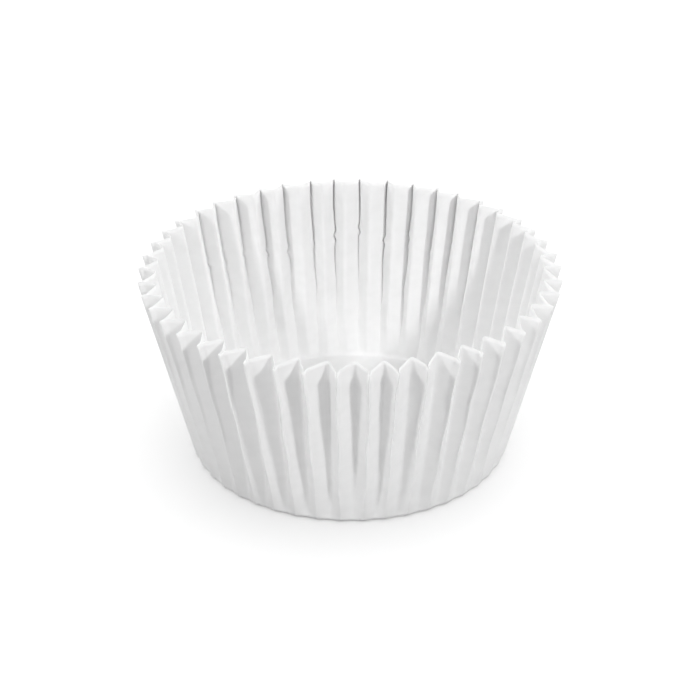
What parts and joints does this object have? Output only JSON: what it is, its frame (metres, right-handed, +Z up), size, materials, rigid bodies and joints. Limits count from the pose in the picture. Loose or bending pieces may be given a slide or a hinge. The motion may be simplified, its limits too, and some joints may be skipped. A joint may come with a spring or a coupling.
{
  "type": "paper baking cup",
  "caption": "Round pleated paper cup for baking, open at the top, with a flat base, a fluted wall leaning outward and a zigzag rim.",
  "frame": {"origin": "centre of the flat base, on the surface that the cup stands on", "axes": "+Z up along the cup's round axis, out of its open mouth; X and Y across the base, alike in every direction"},
  "size_m": [0.0644, 0.0642, 0.0303],
  "materials": {
    "greaseproof_paper": "matt white greaseproof paper, slightly see-through"
  },
  "bodies": {
    "root": {"pleated_paper_cup": "greaseproof_paper"}
  },
  "joints": []
}
